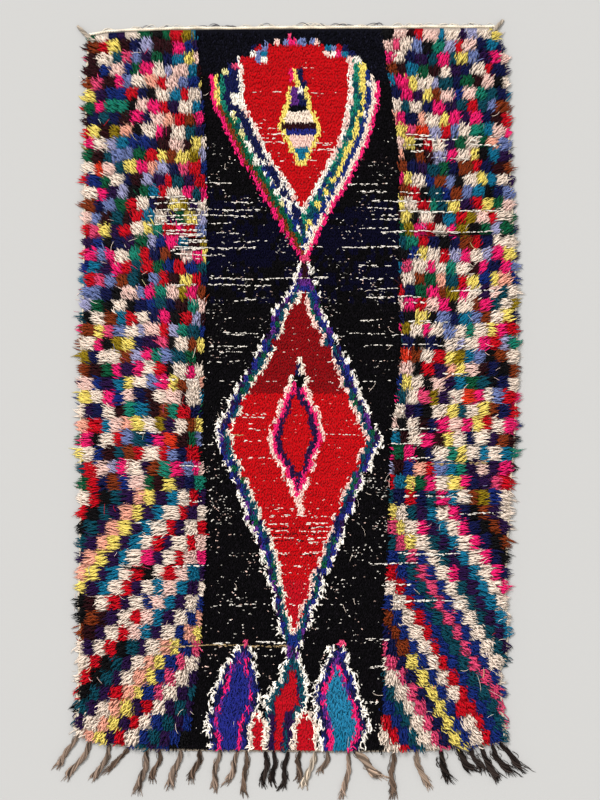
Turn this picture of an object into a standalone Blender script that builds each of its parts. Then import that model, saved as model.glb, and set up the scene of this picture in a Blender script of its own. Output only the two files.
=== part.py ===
"""A boucherouite rug lying flat: a knotted rag pile with its header cord and its warp fringe.

The rug lies in the XY plane on Z = 0, with its length along Y. The header is at +Y and the fringe
at -Y. The origin is the middle of the whole outline, on the underside. Sizes are in millimetres
until the last step, which turns them into metres.
"""

import bmesh
import bpy
import numpy as np

MM = 0.001
GAP = 0.3
SEED = 20

# The knotted cloth, measured down from its highest edge and across from its middle line.
CLOTH_LENGTH = 2160.0
SECTION_COLUMNS = ("down", "left", "field_left", "field_right", "right")
SECTIONS = (
    (0, 628, 300, 255, 608),
    (54, 628, 295, 263, 612),
    (84, 629, 292, 268, 632),
    (216, 634, 280, 288, 636),
    (396, 636, 267, 309, 645),
    (576, 638, 267, 309, 654),
    (756, 641, 267, 309, 663),
    (966, 648, 276, 315, 666),
    (1236, 651, 284, 285, 660),
    (1356, 648, 272, 282, 648),
    (1536, 651, 267, 279, 638),
    (1716, 656, 276, 264, 630),
    (1806, 653, 285, 261, 642),
    (1896, 652, 288, 261, 632),
    (1932, 654, 293, 261, 612),
    (1986, 658, 302, 261, 620),
    (2061, 664, 312, 256, 624),
    (2160, 674, 324, 246, 642),
)

# The two woven ends sag a little at the corners.
END_COLUMNS = ("across", "down")
TOP_END = ((-640, 27), (-560, 15), (-390, 6), (0, 3), (620, 0))
BOTTOM_END = (
    (-680, 2090),
    (-650, 2116),
    (-610, 2138),
    (-500, 2151),
    (-440, 2160),
    (100, 2166),
    (370, 2163),
    (520, 2154),
    (640, 2134),
)

# The pile: long and lumpy down both sides, clipped short in the middle field.
ROWS = 76
SIDE_CELLS = 8
FIELD_CELLS = 12
SIDE_PILE = 22.0
SIDE_LUMP = 3.5
FIELD_PILE = 13.0
FIELD_LUMP = 1.5
EDGE_PILE = 10.0
EDGE_LUMP = 1.5

# Locks of the long pile point out of both long sides, one to each row of knots.
RIM_INSET = 10.0
LOCK_LEAST = 11.0
LOCK_MOST = 24.0
LOCK_LEAN = 9.0
LOCK_TIP_HEIGHT = 4.0
STRAY_COLUMNS = ("side", "down", "reach")
STRAY_LOCKS = ((-1, 1752, 42), (1, 1272, 36), (-1, 1190, 30), (1, 1905, 30))

# The woven end that holds the warp, and the bundles of warp left hanging from it.
STRIP_WIDTH = 9.0
STRIP_HEIGHT = 7.0
BUNDLE_COLUMNS = ("root", "tip", "reach", "width")
BUNDLES = (
    (-655, -717, 96, 13),
    (-618, -688, 108, 14),
    (-558, -606, 102, 13),
    (-501, -570, 72, 12),
    (-447, -474, 126, 15),
    (-408, -432, 87, 12),
    (-345, -381, 108, 15),
    (-288, -315, 87, 13),
    (-228, -252, 114, 13),
    (-174, -210, 93, 12),
    (-150, -153, 128, 12),
    (-90, -96, 99, 12),
    (-66, -70, 96, 12),
    (-24, -45, 105, 14),
    (12, 3, 81, 13),
    (57, 24, 102, 14),
    (96, 75, 57, 12),
    (157, 144, 130, 13),
    (180, 258, 72, 15),
    (294, 288, 132, 14),
    (360, 396, 108, 14),
    (432, 462, 90, 13),
    (483, 534, 66, 13),
    (525, 561, 72, 12),
    (555, 612, 100, 14),
    (586, 645, 84, 13),
    (612, 690, 78, 13),
)
BUNDLE_STEP_COLUMNS = ("share_of_way", "share_of_width", "height")
BUNDLE_STEPS = (
    (0.22, 0.95, 7.5),
    (0.50, 0.85, 7.0),
    (0.78, 0.80, 6.0),
    (1.00, 0.40, 3.0),
)
BUNDLE_BEND = 1.35
BUNDLE_CROWN_WIDTH = 0.6

# The header: a cotton cord laid along the other end, with its two tails loose at the corners.
CORD_WIDTH = 8.0
CORD_HEIGHT = 6.0
CORD_RIPPLE = 1.2
CORD_SHOULDER = 2.0
CORD_END_INSETS = (5.0, 12.0)
TAIL_STEP_COLUMNS = ("out", "up", "width", "height")
LEFT_TAIL = ((12, 3, 9, 6), (28, 14, 11, 6), (40, 26, 7, 3))
RIGHT_TAIL = ((10, 4, 10, 6), (20, 12, 12, 6), (29, 21, 8, 3))
TAIL_SLANT = 0.5
TAIL_CROWN_WIDTH = 0.6

PILE_COLOUR = (0.12, 0.03, 0.10)
WARP_COLOUR = (0.16, 0.12, 0.09)
COTTON_COLOUR = (0.72, 0.66, 0.56)


class Shell:
    """The points and faces of one closed solid, gathered as it is built."""

    def __init__(self):
        self.points = []
        self.faces = []

    def point(self, across, down, height):
        self.points.append((across, -down, height))
        return len(self.points) - 1

    def face(self, *corners):
        self.faces.append(corners)

    def bridge(self, ring, following):
        """Join two rings of as many points with a band of four-sided faces."""
        for k in range(len(ring)):
            after = (k + 1) % len(ring)
            self.face(ring[k], ring[after], following[after], following[k])


def clear_scene():
    for item in list(bpy.data.objects):
        bpy.data.objects.remove(item, do_unlink=True)


def column(table, columns, name):
    """One named column of a table of rows."""
    return np.array([row[columns.index(name)] for row in table], float)


def section(name, down):
    """A width of the cloth at a distance down from its highest edge."""
    rows_down = column(SECTIONS, SECTION_COLUMNS, "down")
    return np.interp(down, rows_down, column(SECTIONS, SECTION_COLUMNS, name))


def woven_end(table, across):
    """How far down a woven end lies at a distance across."""
    rows_across = column(table, END_COLUMNS, "across")
    return np.interp(across, rows_across, column(table, END_COLUMNS, "down"))


def across_of_row(down):
    """Where the grid's lines cross one row: even cells in each side column and in the field."""
    marks = (
        RIM_INSET - section("left", down),
        -section("field_left", down),
        section("field_right", down),
        section("right", down) - RIM_INSET,
    )
    cells = (0, SIDE_CELLS, SIDE_CELLS + FIELD_CELLS, 2 * SIDE_CELLS + FIELD_CELLS)
    return np.interp(np.arange(cells[-1] + 1), cells, marks)


def pile_grid(random):
    """Across, down and height of every point of the lumpy top."""
    share = np.linspace(0.0, 1.0, ROWS + 1)[:, None]
    across = np.array([across_of_row(down) for down in share[:, 0] * CLOTH_LENGTH])
    top = woven_end(TOP_END, across)
    down = top + share * (woven_end(BOTTOM_END, across) - top)
    lines = np.arange(across.shape[1])
    in_side = (lines < SIDE_CELLS) | (lines > SIDE_CELLS + FIELD_CELLS)
    lump = random.uniform(-1.0, 1.0, across.shape)
    height = np.where(in_side, SIDE_PILE + SIDE_LUMP * lump, FIELD_PILE + FIELD_LUMP * lump)
    edge = np.zeros(across.shape, bool)
    edge[[0, -1], :] = True
    edge[:, [0, -1]] = True
    height = np.where(edge, EDGE_PILE + EDGE_LUMP * lump, height)
    return across, down, height


def add_locks(shell, side, top, low, random):
    """Pointed locks along one long side. Their walls close that side of the slab."""
    for j in range(len(top) - 1):
        upper = np.array(shell.points[top[j]])
        lower = np.array(shell.points[top[j + 1]])
        middle = (upper + lower) / 2
        down = -middle[1]
        reach = random.uniform(LOCK_LEAST, LOCK_MOST)
        lean = random.uniform(0.0, LOCK_LEAN)
        for stray_side, stray_down, stray_reach in STRAY_LOCKS:
            if stray_side == side and upper[1] >= -stray_down > lower[1]:
                reach = stray_reach
        tip = middle[0] + side * reach, down + lean
        tip_top = shell.point(*tip, LOCK_TIP_HEIGHT)
        tip_low = shell.point(*tip, 0.0)
        shell.face(top[j], top[j + 1], tip_top)
        shell.face(low[j], low[j + 1], tip_low)
        shell.face(top[j], tip_top, tip_low, low[j])
        shell.face(tip_top, top[j + 1], low[j + 1], tip_low)


def add_end_wall(shell, top, low):
    """The short upright wall along the first or the last row of knots."""
    for k in range(len(top) - 1):
        shell.face(top[k], top[k + 1], low[k + 1], low[k])


def build_pile(random):
    """The knotted cloth with its pile: a lumpy slab with a flat underside and locks at its rim."""
    shell = Shell()
    across, down, height = pile_grid(random)
    rows, lines = across.shape
    grid = [[shell.point(across[j, i], down[j, i], height[j, i]) for i in range(lines)] for j in range(rows)]
    for j in range(rows - 1):
        for i in range(lines - 1):
            shell.face(grid[j][i], grid[j][i + 1], grid[j + 1][i + 1], grid[j + 1][i])
    first = [shell.point(across[0, i], down[0, i], 0.0) for i in range(lines)]
    last = [shell.point(across[-1, i], down[-1, i], 0.0) for i in range(lines)]
    left = [first[0]]
    right = [first[-1]]
    for j in range(1, rows - 1):
        left.append(shell.point(across[j, 0], down[j, 0], 0.0))
        right.append(shell.point(across[j, -1], down[j, -1], 0.0))
    left.append(last[0])
    right.append(last[-1])
    for j in range(1, rows - 2):
        shell.face(left[j], left[j + 1], right[j + 1], right[j])
    shell.face(*first, right[1], left[1])
    shell.face(*last, right[-2], left[-2])
    add_locks(shell, -1, [row[0] for row in grid], left, random)
    add_locks(shell, 1, [row[-1] for row in grid], right, random)
    add_end_wall(shell, grid[0], first)
    add_end_wall(shell, grid[-1], last)
    ends = (across[0], down[0]), (across[-1], down[-1])
    return shell, ends


def add_bundle(shell, root_ring, centre, bundle):
    """One bundle of warp, four-sided, lying level on the floor from the strip to its tip."""
    root, tip, reach, width = bundle
    ring = root_ring
    for share, width_share, height in BUNDLE_STEPS:
        across = root + (tip - root) * share**BUNDLE_BEND
        down = centre + reach * share
        half = width * width_share / 2
        following = (
            shell.point(across - half, down, 0.0),
            shell.point(across + half, down, 0.0),
            shell.point(across + half * BUNDLE_CROWN_WIDTH, down, height),
            shell.point(across - half * BUNDLE_CROWN_WIDTH, down, height),
        )
        shell.bridge(ring, following)
        ring = following
    shell.face(*ring)


def build_fringe(cloth_end):
    """The woven end as a narrow strip, parted from the pile, with the bundles of warp fused to it."""
    shell = Shell()
    across, down = cloth_end
    back_low = [shell.point(x, y + GAP, 0.0) for x, y in zip(across, down)]
    back_top = [shell.point(x, y + GAP, STRIP_HEIGHT) for x, y in zip(across, down)]
    front_low = [shell.point(across[0], down[0] + GAP + STRIP_WIDTH, 0.0)]
    front_top = [shell.point(across[0], down[0] + GAP + STRIP_WIDTH, STRIP_HEIGHT)]
    for bundle in BUNDLES:
        root, _, _, width = bundle
        front_down = np.interp(root, across, down) + GAP + STRIP_WIDTH
        low = [shell.point(root + turn * width / 2, front_down, 0.0) for turn in (-1, 1)]
        top = [shell.point(root + turn * width / 2, front_down, STRIP_HEIGHT) for turn in (-1, 1)]
        shell.face(front_low[-1], low[0], top[0], front_top[-1])
        add_bundle(shell, (low[0], low[1], top[1], top[0]), front_down, bundle)
        front_low += low
        front_top += top
    front_low.append(shell.point(across[-1], down[-1] + GAP + STRIP_WIDTH, 0.0))
    front_top.append(shell.point(across[-1], down[-1] + GAP + STRIP_WIDTH, STRIP_HEIGHT))
    shell.face(front_low[-2], front_low[-1], front_top[-1], front_top[-2])
    add_end_wall(shell, back_top, back_low)
    for end in (0, -1):
        shell.face(back_low[end], back_top[end], front_top[end], front_low[end])
    shell.face(*back_low, *reversed(front_low))
    shell.face(*back_top, *reversed(front_top))
    return shell


def add_tail(shell, ring, side, steps):
    """A loose end of the header cord, turned outwards at one corner and lying on the floor."""
    corners = np.array([shell.points[k] for k in ring])
    start = (corners.min(axis=0) + corners.max(axis=0)) / 2
    for out, up, width, height in steps:
        across = start[0] + side * out
        down = -start[1] - up
        low = width / 2
        crown = low * TAIL_CROWN_WIDTH
        slant = side * TAIL_SLANT
        following = (
            shell.point(across + slant * low, down + low, 0.0),
            shell.point(across + slant * crown, down + crown, height),
            shell.point(across - slant * crown, down - crown, height),
            shell.point(across - slant * low, down - low, 0.0),
        )
        shell.bridge(ring, following)
        ring = following
    shell.face(*ring)


def build_header(cloth_end):
    """The header cord along the first row of knots, with a tail at each corner."""
    shell = Shell()
    across, down = cloth_end
    marks = np.array(across)
    marks[0] += CORD_END_INSETS[0]
    marks[-1] -= CORD_END_INSETS[1]
    rings = []
    for k, (x, y) in enumerate(zip(marks, np.interp(marks, across, down))):
        ripple = CORD_RIPPLE * (k % 2)
        back = y - GAP
        front = back - CORD_WIDTH - ripple
        rings.append(
            (
                shell.point(x, back, 0.0),
                shell.point(x, back - CORD_SHOULDER, CORD_HEIGHT + ripple),
                shell.point(x, front + CORD_SHOULDER, CORD_HEIGHT + ripple),
                shell.point(x, front, 0.0),
            )
        )
    for ring, following in zip(rings, rings[1:]):
        shell.bridge(ring, following)
    add_tail(shell, rings[0], -1, LEFT_TAIL)
    add_tail(shell, rings[-1], 1, RIGHT_TAIL)
    return shell


def make_material(name, colour, roughness):
    material = bpy.data.materials.new(name)
    material.use_nodes = True
    shader = material.node_tree.nodes["Principled BSDF"]
    shader.inputs["Base Color"].default_value = (*colour, 1.0)
    shader.inputs["Roughness"].default_value = roughness
    shader.inputs["Metallic"].default_value = 0.0
    return material


def make_object(name, shell, middle, material):
    """The solid in metres about the middle of the outline, with every face pointing out."""
    mesh = bpy.data.meshes.new(name)
    points = (np.array(shell.points) - middle) * MM
    mesh.from_pydata(points.tolist(), [], shell.faces)
    work = bmesh.new()
    work.from_mesh(mesh)
    bmesh.ops.recalc_face_normals(work, faces=work.faces)
    work.to_mesh(mesh)
    work.free()
    mesh.shade_smooth()
    mesh.set_sharp_from_angle(angle=np.radians(50.0))
    mesh.materials.append(material)
    item = bpy.data.objects.new(name, mesh)
    bpy.context.scene.collection.objects.link(item)
    return item


def build_rug():
    clear_scene()
    random = np.random.default_rng(SEED)
    pile, (header_end, fringe_end) = build_pile(random)
    solids = (
        ("rag_pile_cloth", pile, make_material("rag_pile", PILE_COLOUR, 0.95)),
        ("warp_fringe", build_fringe(fringe_end), make_material("wool_warp", WARP_COLOUR, 0.9)),
        ("header_cord", build_header(header_end), make_material("natural_cotton", COTTON_COLOUR, 0.9)),
    )
    outline = np.concatenate([np.array(shell.points) for _, shell, _ in solids])
    middle = (outline.min(axis=0) + outline.max(axis=0)) / 2
    middle[2] = 0.0
    for name, shell, material in solids:
        make_object(name, shell, middle, material)


build_rug()
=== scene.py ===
import bpy
import numpy as np
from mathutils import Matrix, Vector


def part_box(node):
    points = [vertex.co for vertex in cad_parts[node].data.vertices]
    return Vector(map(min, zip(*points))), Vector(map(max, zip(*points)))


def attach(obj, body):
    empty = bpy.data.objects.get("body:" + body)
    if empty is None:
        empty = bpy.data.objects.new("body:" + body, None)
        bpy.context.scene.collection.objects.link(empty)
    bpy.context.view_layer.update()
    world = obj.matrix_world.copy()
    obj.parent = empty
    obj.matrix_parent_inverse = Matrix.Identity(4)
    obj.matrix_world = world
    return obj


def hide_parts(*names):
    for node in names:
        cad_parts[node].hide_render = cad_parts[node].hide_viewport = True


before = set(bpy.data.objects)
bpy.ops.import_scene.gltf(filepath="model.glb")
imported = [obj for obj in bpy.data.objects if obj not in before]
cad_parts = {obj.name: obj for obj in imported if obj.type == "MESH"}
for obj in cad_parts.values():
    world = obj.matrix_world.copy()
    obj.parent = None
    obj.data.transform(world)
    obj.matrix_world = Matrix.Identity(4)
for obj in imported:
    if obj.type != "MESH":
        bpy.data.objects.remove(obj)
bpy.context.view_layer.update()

# Woven ground
# The cotton ground that every knot is tied on, with the collars of the knots packed between its wefts.
# Cotton warp and weft with the dyed rags showing through, darkened by painted shade on its upper side, where
# it lies deep under the pile. Woven by hand on an upright loom.

CLOTH_LENGTH = 2160
# Across, in millimetres from the centre line, at each distance down: left rim, left and right edge of
# the middle field, right rim.
SECTIONS = np.array(
    (
        (0, -628, -300, 255, 608), (54, -628, -295, 263, 612), (84, -629, -292, 268, 632),
        (216, -634, -280, 288, 636), (396, -636, -267, 309, 645), (576, -638, -267, 309, 654),
        (756, -641, -267, 309, 663), (966, -648, -276, 315, 666), (1236, -651, -284, 285, 660),
        (1356, -648, -272, 282, 648), (1536, -651, -267, 279, 638), (1716, -656, -276, 264, 630),
        (1806, -653, -285, 261, 642), (1896, -652, -288, 261, 632), (1932, -654, -293, 261, 612),
        (1986, -658, -302, 261, 620), (2061, -664, -312, 256, 624), (2160, -674, -324, 246, 642),
    ),
    float,
)
LEFT, FIELD_LEFT, FIELD_RIGHT, RIGHT = 1, 2, 3, 4
# Both woven ends, as places across and how far down the end lies there.
TOP_END = np.array(((-640, 27), (-560, 15), (-390, 6), (0, 3), (620, 0)), float).T
BOTTOM_END = np.array(
    (
        (-680, 2090), (-650, 2116), (-610, 2138), (-500, 2151), (-440, 2160), (100, 2166), (370, 2163),
        (520, 2154), (640, 2134),
    ),
    float,
).T
# The cloth's centre line lies this far beside the middle of the frame.
CENTRE_SHIFT = 13.5
cloth_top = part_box("rag_pile_cloth")[1][1]

DYE_COLOURS = {
    "cream": (244, 225, 208), "white": (250, 242, 230), "pale_pink": (244, 206, 194),
    "salmon": (244, 174, 150), "hot_pink": (236, 30, 112), "rose": (224, 72, 116), "red": (208, 2, 14),
    "crimson": (202, 6, 28), "dark_red": (147, 0, 9), "orange_red": (222, 56, 28), "maroon": (44, 7, 14),
    "rust": (130, 52, 18), "olive": (146, 122, 18), "straw": (186, 158, 112), "yellow": (242, 220, 112),
    "pale_yellow": (232, 222, 160), "green": (8, 86, 54), "teal_green": (24, 128, 106),
    "teal_blue": (14, 112, 146), "sky_teal": (34, 122, 158), "dark_teal": (6, 72, 88),
    "royal": (18, 42, 116), "blue": (32, 38, 124), "navy": (14, 20, 70), "periwinkle": (114, 128, 178),
    "lavender": (164, 162, 198), "violet": (40, 14, 64), "purple": (98, 42, 130), "ink": (11, 11, 21),
    "midnight": (7, 6, 31), "black": (8, 6, 9),
}
DYE = {name: index for index, name in enumerate(DYE_COLOURS)}


def to_linear(colours):
    """Screen values from 0 to 255 as the linear light values that a material uses."""
    value = np.asarray(colours, float) / 255
    return np.where(value <= 0.04045, value / 12.92, ((value + 0.055) / 1.055) ** 2.4)


def dye_numbers(names):
    """The numbers of the dyes that one string names."""
    return np.array([DYE[name] for name in names.split()])


def dyed(dyes, names):
    """Which points have one of the dyes that one string names."""
    return np.isin(dyes, dye_numbers(names))


DYE_LIGHT = to_linear(list(DYE_COLOURS.values()))
# Dyes that look alike from a distance have the same number, so that the chequer keeps them apart.
DYE_DEPTH = np.arange(len(DYE))
for alike_names in (
    "cream white pale_pink", "hot_pink rose", "red crimson orange_red", "teal_green green",
    "teal_blue dark_teal", "royal navy", "black maroon violet", "periwinkle lavender",
):
    alike = dye_numbers(alike_names)
    DYE_DEPTH[alike] = alike[0]


def edge(down, column):
    """Where one of the four boundaries in SECTIONS lies across, at each distance down."""
    return np.interp(down, SECTIONS[:, 0], SECTIONS[:, column])


def in_field(across, down, margin=0.0):
    """Which points lie in the middle field, and more than margin from its edges."""
    return (across > edge(down, FIELD_LEFT) + margin) & (across < edge(down, FIELD_RIGHT) - margin)


def place(across, down, height):
    """Points in the frame, in metres, from millimetres across, down and up."""
    across, down, height = np.broadcast_arrays(across, down, height)
    x = (across + CENTRE_SHIFT) / 1000
    return np.stack((x, cloth_top - down / 1000, height / 1000), axis=-1)


# The lines between the rows of side knots: 36 mm apart at the top, and 45 mm at the bottom.
ROW_LINES = [2.0]
while ROW_LINES[-1] < CLOTH_LENGTH + 30:
    ROW_LINES.append(ROW_LINES[-1] + np.interp(ROW_LINES[-1], (0, 900, 1100, 1450), (36, 38, 42, 45)))
ROW_LINES = np.array(ROW_LINES)
ROW_MIDDLES = (ROW_LINES[:-1] + ROW_LINES[1:]) / 2
# The colour blocks of a side row: how many there are with room to spare, and how wide one is.
BLOCKS = 20
BLOCK = 32.0
# How often each dye is tied in the random chequer.
CHEQUER_SHARES = {
    "cream": 24, "pale_pink": 9, "salmon": 1, "hot_pink": 9, "rose": 2, "crimson": 9, "orange_red": 1,
    "maroon": 7, "rust": 4, "olive": 2, "yellow": 9, "green": 4, "teal_green": 4, "teal_blue": 5,
    "dark_teal": 5, "royal": 4, "navy": 8, "periwinkle": 4, "lavender": 3, "violet": 7, "black": 9,
}
# The diagonal stripes: the dyes in order from left to right, which of them is counted as the first, how
# far down the stripes run, how wide one is, and where the first one lies across at some distances down.
# The last table names the rows where a stripe, counted from the first one, is tied in another dye.
LEFT_UPPER = (
    "cream black teal_blue cream crimson black dark_teal violet salmon yellow violet teal_blue cream crimson"
    " violet cream crimson pale_pink teal_blue violet cream royal salmon yellow royal rose cream",
    9,
    (1395, 1842),
    33.5,
    ((1416, -444), (1458, -479), (1506, -519), (1548, -552), (1590, -583), (1635, -613), (1680, -645),
     (1728, -687), (1773, -720), (1821, -760)),
    (((1705, 1760), 1, "black"), ((1705, 1760), 2, "maroon"), ((1750, 1850), 2, "black"),
     ((1750, 1850), 3, "rust"), ((1750, 1850), 4, "maroon")),
)
LEFT_LOWER = (
    "black cream violet cream violet cream crimson black dark_teal violet cream salmon yellow royal rose"
    " cream violet dark_teal violet royal black black black",
    12,
    (1842, 2300),
    32.5,
    ((1863, -367), (1908, -414), (1965, -449), (2013, -490), (2061, -531), (2112, -575)),
    (((2030, 2200), 1, "violet"), ((2030, 2200), 2, "crimson"), ((2040, 2200), 4, "royal")),
)
RIGHT_WHOLE = (
    "black cream crimson royal dark_teal cream rose navy yellow royal cream crimson royal dark_teal rose"
    " royal cream dark_teal violet teal_blue cream hot_pink navy black rust violet cream",
    11,
    (1410, 2300),
    31.0,
    ((1470, 171), (1512, 201), (1557, 236), (1596, 263), (1647, 295), (1689, 320), (1740, 345), (1782, 377),
     (1830, 400), (1872, 422), (1917, 450), (1962, 481), (2013, 515), (2061, 536), (2112, 561)),
    (((1400, 1550), 4, "yellow"), ((1740, 1860), -3, "rust")),
)


def side_blocks(first, seed, stripes, blued=0.0):
    """The edges and the dye of every block in each row of one side, as two arrays with a line for each row.
    Most rows are a random chequer, and the rows named in stripes follow a dye order. blued is the share
    of the cream and yellow blocks in the upper rows that are tied in a blue instead."""
    rng = np.random.default_rng(seed)
    rows = len(ROW_MIDDLES)
    size = (rows, BLOCKS)
    names = dye_numbers(" ".join(CHEQUER_SHARES))
    share = np.array(list(CHEQUER_SHARES.values()), float)
    share /= share.sum()
    dyes = rng.choice(names, size=size, p=share)
    for _ in range(6):
        depth = DYE_DEPTH[dyes]
        alike = np.zeros(size, bool)
        alike[:, 1:] = depth[:, 1:] == depth[:, :-1]
        alike[1:] |= depth[1:] == depth[:-1]
        alike &= rng.random(size) < 0.85
        dyes = np.where(alike, rng.choice(names, size=size, p=share), dyes)
    bright = dyed(dyes, "cream yellow") & (ROW_MIDDLES < 900)[:, None]
    blues = rng.choice(dye_numbers("periwinkle royal maroon"), size=size)
    dyes = np.where(bright & (rng.random(size) < blued), blues, dyes)
    start = first + rng.uniform(-14, 14, rows)
    width = np.full(rows, BLOCK)
    for order, zero, (low, high), step, line, others in stripes:
        order = dye_numbers(order)
        line = np.array(line, float)
        slope = (line[-1] - line[0]) / (line[-1, 0] - line[0, 0])
        for row in np.flatnonzero((ROW_MIDDLES > low) & (ROW_MIDDLES < high)):
            down = ROW_MIDDLES[row]
            zero_across = np.interp(down, line[:, 0], line[:, 1])
            zero_across += slope[1] * (max(down - line[-1, 0], 0) + min(down - line[0, 0], 0))
            begin = np.ceil((first - zero_across) / step)
            start[row] = zero_across + (begin - 0.5) * step
            width[row] = step
            index = np.clip(zero + begin + np.arange(BLOCKS), 0, len(order) - 1).astype(int)
            odd = (rng.random(BLOCKS) < 0.02) & (order[index] != DYE["yellow"])
            dyes[row] = np.where(odd, dyes[row], order[index])
            for (other_low, other_high), stripe, name in others:
                if other_low < down < other_high:
                    dyes[row, index == zero + stripe] = DYE[name]
    edges = start[:, None] + width[:, None] * np.arange(BLOCKS)
    free = (width == BLOCK)[:, None]
    edges = edges + rng.uniform(-1, 1, edges.shape) * np.where(free, 6, 4)
    pale = dyed(dyes, "cream pale_pink")
    edges[:, 1:] -= np.where(free, 4, 3.5) * (pale[:, 1:].astype(int) - pale[:, :-1])
    return edges, dyes


LEFT_EDGES, LEFT_DYES = side_blocks(-706, 11, (LEFT_UPPER, LEFT_LOWER), blued=0.27)
RIGHT_EDGES, RIGHT_DYES = side_blocks(228, 12, (RIGHT_WHOLE,))
BLOCK_EDGES = np.stack((LEFT_EDGES, RIGHT_EDGES))
BLOCK_DYES = np.stack((LEFT_DYES, RIGHT_DYES))


def block_of(across, down):
    """Which block of the two sides each point lies in, as side, row and place in the row, with the share
    of the row's height. The rows are drawn in slow waves of a few millimetres, as they are woven."""
    calm = np.interp(down, (0, 1200, 1500), (1, 0.8, 0.5))
    wave = 4.5 * np.sin(across / 41 + np.sin(down / 170)) + 2.5 * np.sin(across / 17 + down / 63)
    woven = down + calm * wave
    row = np.clip(np.searchsorted(ROW_LINES, woven, side="right") - 1, 0, len(ROW_MIDDLES) - 1)
    share = np.clip((woven - ROW_LINES[row]) / (ROW_LINES[row + 1] - ROW_LINES[row]), 0, 1)
    side = (across > 0).astype(int)
    block = np.clip((across[..., None] >= BLOCK_EDGES[side, row]).sum(axis=-1) - 1, 0, BLOCKS - 1)
    return side, row, block, share


def side_dye(across, down):
    """The dye of the block that each point of the two sides lies in."""
    return BLOCK_DYES[block_of(across, down)[:3]]


# Field knots are 18 mm high, and each has three random numbers.
KNOT = 18.0
knot_luck = np.random.default_rng(5).random((160, 80, 3))


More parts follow.
